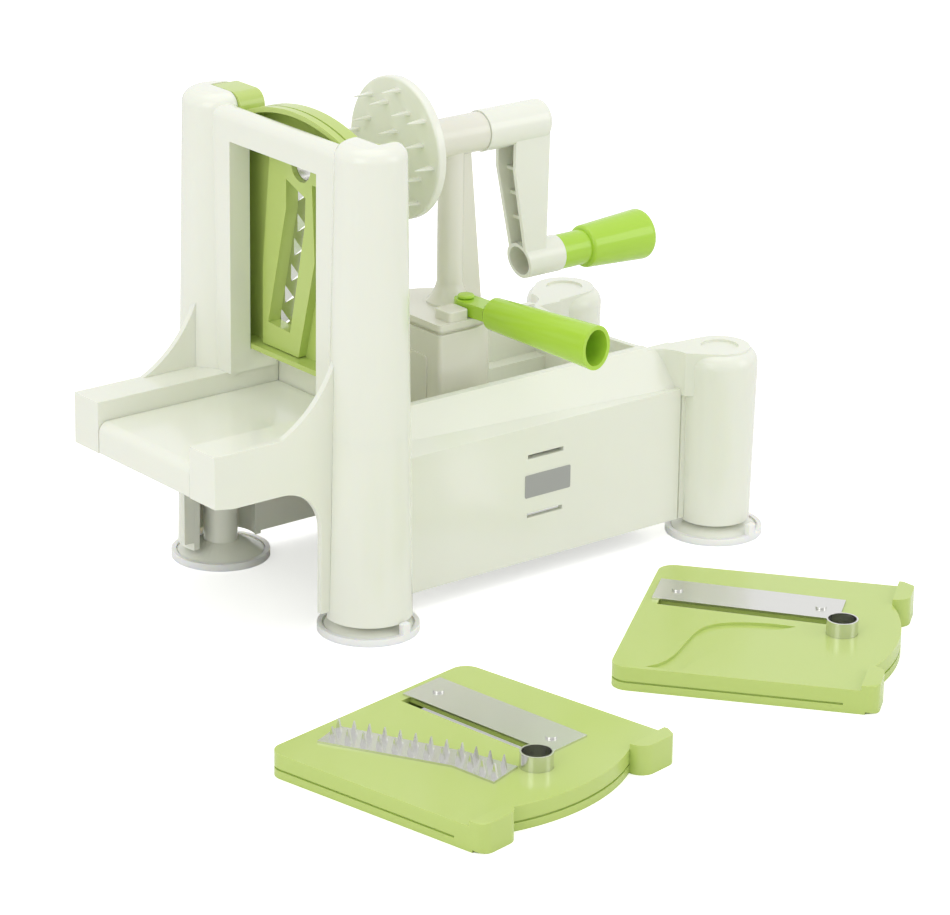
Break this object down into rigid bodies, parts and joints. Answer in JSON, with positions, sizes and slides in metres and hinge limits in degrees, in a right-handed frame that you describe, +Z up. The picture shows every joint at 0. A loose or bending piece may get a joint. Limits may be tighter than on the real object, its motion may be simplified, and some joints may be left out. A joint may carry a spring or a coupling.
{
  "type": "hand cranked spiralizer",
  "caption": "Table-top vegetable spiralizer: moulded base on suction cups, blade cassette in a window frame, sliding carriage with spiked disc and crank, and spare cassettes.",
  "frame": {"origin": "centre of the suction cup under the near tall column, on the table", "axes": "+X from the catch tray to the crank, +Y from the side with the push handle to the far side, +Z up"},
  "size_m": [0.3737, 0.3685, 0.2432],
  "materials": {
    "ivory_abs": "moulded gloss",
    "stone_abs": "moulded gloss",
    "lime_abs": "moulded gloss",
    "leaf_abs": "moulded satin gloss",
    "steel": "ground stainless steel",
    "clear_pvc": "soft translucent"
  },
  "bodies": {
    "base": {"trough_base": "ivory_abs", "blade_tower": "ivory_abs", "side_wall_near": "ivory_abs", "side_wall_far": "ivory_abs", "catch_tray": "ivory_abs", "foot_stem_tall_near": "ivory_abs", "foot_stem_tall_far": "ivory_abs", "foot_stem_low_near": "ivory_abs", "foot_stem_low_far": "ivory_abs", "suction_cup_tall_near": "clear_pvc", "suction_cup_tall_far": "clear_pvc", "suction_cup_low_near": "clear_pvc", "suction_cup_low_far": "clear_pvc"},
    "carriage": {"slide_shoe": "stone_abs", "carriage_block": "stone_abs", "carriage_top_plate": "stone_abs", "tower_post": "stone_abs", "handle_pin": "lime_abs"},
    "crank": {"spiked_disc": "ivory_abs", "crank_shaft": "steel", "crank_arm": "ivory_abs", "grip_pin": "steel"},
    "crank_grip": {"crank_grip": "lime_abs"},
    "side_handle": {"side_handle": "lime_abs"},
    "triangle_cassette": {"triangle_plate": "leaf_abs", "triangle_blade": "steel", "triangle_rivets": "steel", "triangle_coring_ring": "steel", "triangle_cutter": "steel"},
    "fine_cassette": {"fine_plate": "leaf_abs", "fine_blade": "steel", "fine_rivets": "steel", "fine_coring_ring": "steel", "fine_cutter": "steel"},
    "ribbon_cassette": {"ribbon_plate": "leaf_abs", "ribbon_blade": "steel", "ribbon_rivets": "steel", "ribbon_coring_ring": "steel"}
  },
  "joints": [
    {"name": "carriage_slide", "type": "slide", "parent": "base", "child": "carriage", "axis": [1, 0, 0], "range_m": [-0.024, 0.064]},
    {"name": "crank_turn", "type": "hinge", "parent": "carriage", "child": "crank", "pos_m": [0.09, 0.0594, 0.209], "axis": [1, 0, 0], "continuous": true},
    {"name": "grip_spin", "type": "hinge", "parent": "crank", "child": "crank_grip", "pos_m": [0.17, 0.0594, 0.1395], "axis": [1, 0, 0], "continuous": true},
    {"name": "handle_fold", "type": "hinge", "parent": "carriage", "child": "side_handle", "pos_m": [0.09, 0.0424, 0.13], "axis": [0, 0, 1], "range_deg": [0, 75]},
    {"name": "cassette_lift", "type": "slide", "parent": "base", "child": "triangle_cassette", "axis": [0, 0, 1], "range_m": [0, 0.135]},
    {"name": "fine_cassette_lift", "type": "slide", "parent": "base", "child": "fine_cassette", "axis": [0, 0, 1], "range_m": [0, 0.1]},
    {"name": "ribbon_cassette_lift", "type": "slide", "parent": "base", "child": "ribbon_cassette", "axis": [0, 0, 1], "range_m": [0, 0.1]}
  ]
}
